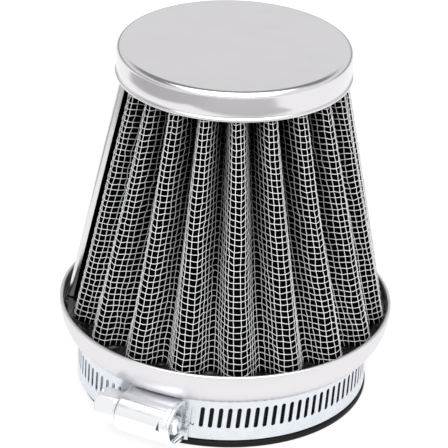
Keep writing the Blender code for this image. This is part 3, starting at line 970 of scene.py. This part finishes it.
TAB_RADII = (BAND_OUTER + 0.05, BAND_OUTER + 0.75)
TAB_HEIGHTS = (1.7, 4.3)
SADDLE_RADII = (NECK_RADIUS + 0.03, NECK_RADIUS + 0.13)
SADDLE_HEIGHTS = (2.6, 13.4)
tab_mesh = bent_tab("foot_tab", (-34.1, -30.4), TAB_RADII, TAB_HEIGHTS)
saddle_mesh = bent_tab("saddle", (-44.0, -27.3), SADDLE_RADII, SADDLE_HEIGHTS)
bevelled(add_piece("foot_tab", tab_mesh, zinc, "clamp", ["clamp_housing"]), 0.22)
add_piece("saddle", saddle_mesh, zinc, "clamp", ["clamp_housing"], 30.0)

# %% [markdown]
# ## The worm screw
# The screw is a radius given by place along the axis and angle: a hexagon whose corners are
# turned off by a cone, a round collar, and a worm thread. Its pitch is the band's slot pitch.

# %% Screw surface
HEAD_START = HEAD_SIDE - 6.4
HEAD_END = HEAD_SIDE - 1.1
FLATS = 7.0
THREAD_START = HEAD_SIDE + 1.1
THREAD_END = TIP_SIDE - 0.9
THREAD_PITCH = 2.0 * math.pi * BAND_OUTER / SLOTS_PER_TURN
THREAD_CREST = 3.1
THREAD_ROOT = 2.35


def hexagon(turn):
    """Distance to the side of a hexagon whose corner is at 0: half the flats / cos(angle from the
    side's middle)."""
    sector = math.radians(60.0)
    return FLATS / 2.0 / np.cos(np.mod(turn, sector) - sector / 2.0)


def head_rings(turn):
    """Along and radius on the head: the hexagon cut by a cone at the driver's end and the collar's."""
    along = np.concatenate([
        HEAD_START + np.array([0.0, 0.06, 0.2, 0.35, 0.5, 0.65, 0.8, 0.95, 1.1]),
        HEAD_END - np.array([0.45, 0.3, 0.15, 0.0]),
    ])[:, None]
    front = 3.0 + 1.15 * np.sqrt(np.clip((along - HEAD_START) / 1.1, 0.0, 1.0))
    back = 3.6 + 1.0 * (HEAD_END - along)
    radius = np.minimum(hexagon(turn)[None, :], np.minimum(front, back))
    return along, radius


def thread_rings(turn, stations=150):
    """Along and radius on the worm: root + height * ridge, ridge repeating once per pitch."""
    along = np.linspace(THREAD_START, THREAD_END, stations)[:, None]
    lead = np.mod(along / THREAD_PITCH - turn[None, :] / (2.0 * math.pi), 1.0)
    ridge = np.clip(1.6 * (1.0 - np.abs(lead - 0.5) / 0.38), 0.0, 1.0)
    share = (along - THREAD_START) / (THREAD_END - THREAD_START)
    height = np.clip(6.0 * np.minimum(share, 1.0 - share), 0.0, 1.0)
    return along, THREAD_ROOT + (THREAD_CREST - THREAD_ROOT) * ridge * height


def screw_mesh(name, sides=96):
    """Rings of (radius cos t, radius sin t) along the axis, with a centre point at each end."""
    turn = 2.0 * math.pi * np.arange(sides) / sides
    shank = np.array([
        (HEAD_END + 0.08, 2.6),
        (HEAD_END + 0.20, 2.6),
        (HEAD_END + 0.24, 4.0),
        (HEAD_END + 0.32, 4.15),
        (HEAD_END + 0.68, 4.15),
        (HEAD_END + 0.76, 4.0),
        (HEAD_END + 0.80, 2.6),
        (THREAD_START - 0.05, 2.6),
    ])
    tip = np.array([(0.25, 2.33), (0.65, 2.15), (0.95, 1.7), (1.1, 0.9)]) + (THREAD_END, 0.0)
    along_parts = []
    radius_parts = []
    for along, radius in (
        head_rings(turn),
        (shank[:, :1], shank[:, 1:]),
        thread_rings(turn),
        (tip[:, :1], tip[:, 1:]),
    ):
        along, radius = np.broadcast_arrays(along, radius + np.zeros((1, sides)))
        along_parts.append(along)
        radius_parts.append(radius)
    along = np.concatenate(along_parts)
    radius = np.concatenate(radius_parts)
    rows = len(along)
    points = by_screw(radius * np.cos(turn), -radius * np.sin(turn), along).reshape(-1, 3)
    poles = by_screw(np.zeros(2), np.zeros(2), np.array([HEAD_START, THREAD_END + 1.1]))
    points = np.concatenate([points, poles])
    i = np.arange(sides)
    j = (i + 1) % sides
    last = (rows - 1) * sides
    first_fan = np.stack([np.full(sides, rows * sides), j, i], axis=1)
    last_fan = np.stack([np.full(sides, rows * sides + 1), last + i, last + j], axis=1)
    return make_mesh(name, points, [grid_faces(rows, sides, False, True), first_fan, last_fan])


print(f"worm: {(THREAD_END - THREAD_START) / THREAD_PITCH:.1f} turns of {THREAD_PITCH:.3f} mm")

# %% [markdown]
# ## The driver slot
# The head is slotted for a flat driver, so that either tool turns it. A slot with sharp edges is
# easiest as a boolean: a block is taken away from the head's end, and then thrown away itself.

# %% Screw with its driver slot


def block_mesh(name, half_sizes):
    """Box about the screw head's end: half sizes outward, upward and along."""
    sign = np.array([(x, y, z) for x in (-1, 1) for y in (-1, 1) for z in (-1, 1)], float)
    out, up, along = (sign * half_sizes).T
    corners = by_screw(out, up, along + HEAD_START)
    sides = ((0, 1, 3, 2), (4, 6, 7, 5), (0, 4, 5, 1), (2, 3, 7, 6), (0, 2, 6, 4), (1, 5, 7, 3))
    return make_mesh(name, corners, [np.array(sides)])


def cut_out(mesh, cutter_mesh):
    """Mesh with a cutter taken away by an exact boolean."""
    scene = bpy.context.scene
    body = bpy.data.objects.new("blank", mesh)
    cutter = bpy.data.objects.new("cutter", cutter_mesh)
    scene.collection.objects.link(body)
    scene.collection.objects.link(cutter)
    cut = body.modifiers.new("cut", "BOOLEAN")
    cut.object = cutter
    cut.solver = "EXACT"
    depsgraph = bpy.context.evaluated_depsgraph_get()
    result = bpy.data.meshes.new_from_object(body.evaluated_get(depsgraph))
    bpy.data.objects.remove(body)
    bpy.data.objects.remove(cutter)
    result.name = mesh.name
    return result


driven = cut_out(screw_mesh("worm_screw"), block_mesh("driver_slot", (0.6, 6.0, 1.3)))
add_piece("worm_screw", driven, bright_zinc, "screw", ["clamp_screw"], 30.0)

# %% [markdown]
# ## The sky
# The filter stands on plain white in very soft light, and chrome only shows what it mirrors. So
# the sky is graded by height: a grey ring on the horizon and one higher up draw the dark lines round
# the cap's shoulder, and between them lies the tone that the flat cap mirrors. Towards the front it
# is evenly bright, and the camera itself sees white behind the filter.

# %% Sky
scene = bpy.context.scene
scene.view_settings.view_transform = "Standard"
SKY_STOPS = [
    (0.0, 0.4),
    (8.0, 0.4),
    (16.0, 0.89),
    (32.0, 0.89),
    (41.0, 0.26),
    (70.0, 0.28),
    (80.0, 0.85),
]


def grey(level):
    """Linear grey as RGBA."""
    return (level, level, level, 1.0)


def sky(stops, front):
    """World whose brightness is a ramp over sin(elevation) of the direction looked in, giving way
    to one even tone towards the front, -Y. Camera rays see plain white."""
    world = bpy.data.worlds.new("soft_sky")
    world.use_nodes = True
    place = add_node(world, "ShaderNodeTexCoord")
    split = add_node(world, "ShaderNodeSeparateXYZ", {}, {"Vector": place.outputs["Generated"]})
    ramp = add_node(world, "ShaderNodeValToRGB", {}, {"Fac": split.outputs["Z"]})
    elements = ramp.color_ramp.elements
    while len(elements) < len(stops):
        elements.new(0.5)
    for element, (elevation, level) in zip(elements, stops):
        element.position = math.sin(math.radians(elevation))
        element.color = grey(level)
    to_front = spread(world, split.outputs["Y"], 0.0, 1.0, 0.1, -0.3)
    around = add_node(
        world,
        "ShaderNodeMix",
        {"data_type": "RGBA"},
        {"Factor": to_front, "A": ramp.outputs["Color"], "B": grey(front)},
    )
    seen = add_node(world, "ShaderNodeLightPath")
    backdrop = add_node(
        world,
        "ShaderNodeMix",
        {"data_type": "RGBA"},
        {"Factor": seen.outputs["Is Camera Ray"], "A": around.outputs["Result"], "B": grey(1.0)},
    )
    link(world, backdrop.outputs["Result"], world.node_tree.nodes["Background"], "Color")
    return world


scene.world = sky(SKY_STOPS, 0.95)
print("sky stops:", SKY_STOPS)

# %% [markdown]
# ## Floor, cards and lamp
# The floor is white paper that glows a little, which keeps the contact shadow faint. Two grey cards
# lie on it where only the chrome sees them: they give the cap's skirt its darker middle. One large
# soft lamp above the front lifts the gauze's wires.

# %% Studio


def flat_sheet(name, material, left, right, near, far, height):
    """Level rectangle kept out of the model: a part of the studio."""
    corners = [(left, far, height), (right, far, height), (right, near, height), (left, near, height)]
    mesh = make_mesh(name, corners, [np.array([[0, 1, 2, 3]])])
    mesh.materials.append(material)
    sheet = bpy.data.objects.new(name, mesh)
    scene.collection.objects.link(sheet)
    return sheet


def grey_card(name, tone, left, right, near, far):
    """Card lying on the floor that is only seen in the chrome, so it darkens nothing else."""
    paper = new_material(name, tone, 1.0, 0.0)[0]
    card = flat_sheet(name, paper, left, right, near, far, 1.0)
    card.visible_camera = False
    card.visible_diffuse = False
    card.visible_shadow = False


def area_light(name, azimuth, elevation, distance, size, power):
    """Square lamp at a direction and distance, aimed at the middle of the filter."""
    lamp = bpy.data.lights.new(name, "AREA")
    lamp.size = size
    lamp.energy = power
    holder = bpy.data.objects.new(name, lamp)
    flat = distance * math.cos(math.radians(elevation))
    turn = math.radians(azimuth)
    target = Vector((0.0, 0.0, 0.045))
    holder.location = target + Vector(
        (flat * math.sin(turn), -flat * math.cos(turn), distance * math.sin(math.radians(elevation)))
    )
    holder.rotation_euler = (target - holder.location).to_track_quat("-Z", "Y").to_euler()
    scene.collection.objects.link(holder)


floor_glow = {
    "Specular IOR Level": 0.0,
    "Emission Color": grey(1.0),
    "Emission Strength": 0.78,
}
floor_white = new_material("white_studio_floor", "#8E8E8E", 1.0, 0.0, floor_glow)[0]
HALF_FLOOR = 3000.0
flat_sheet("studio_floor", floor_white, -HALF_FLOOR, HALF_FLOOR, HALF_FLOOR, -HALF_FLOOR, -0.02)
grey_card("front_card", "#B2B2B2", -150.0, 80.0, -95.0, -400.0)
grey_card("left_card", "#A8A8A8", -420.0, -150.0, 140.0, -400.0)
area_light("front_softbox", -18.0, 62.0, 0.9, 1.3, 10.5)
print(f"floor {2.0 * HALF_FLOOR * MM:.0f} m wide")

# %% [markdown]
# ## The camera
# A long lens 650 mm away looks 27 degrees down on the clamp's side. The camera's own up is
# tilted by two degrees, because the filter leans a little in the frame.

# %% Camera
CAMERA_TURN = -18.0
CAMERA_TILT = 27.226
CAMERA_ROLL = 2.183
CAMERA_DISTANCE = 0.650
AIM = Vector((-0.0010, 0.0, 0.04102))
camera_data = bpy.data.cameras.new("camera")
camera_data.sensor_width = 36.0
camera_data.lens = 219.6
camera_data.dof.use_dof = False
tilt = math.radians(CAMERA_TILT)
roll = math.radians(CAMERA_ROLL)
forward = Vector((0.0, math.cos(tilt), -math.sin(tilt)))
level_right = Vector((1.0, 0.0, 0.0))
level_up = Vector((0.0, math.sin(tilt), math.cos(tilt)))
right = math.cos(roll) * level_right + math.sin(roll) * level_up
up = math.cos(roll) * level_up - math.sin(roll) * level_right
pose = Matrix((right, up, -forward)).transposed().to_4x4()
pose.translation = AIM - forward * CAMERA_DISTANCE
camera = bpy.data.objects.new("camera", camera_data)
camera.matrix_world = Matrix.Rotation(math.radians(CAMERA_TURN), 4, "Z") @ pose
scene.collection.objects.link(camera)
scene.camera = camera
print(f"lens {camera_data.lens} mm, {CAMERA_DISTANCE} m away")
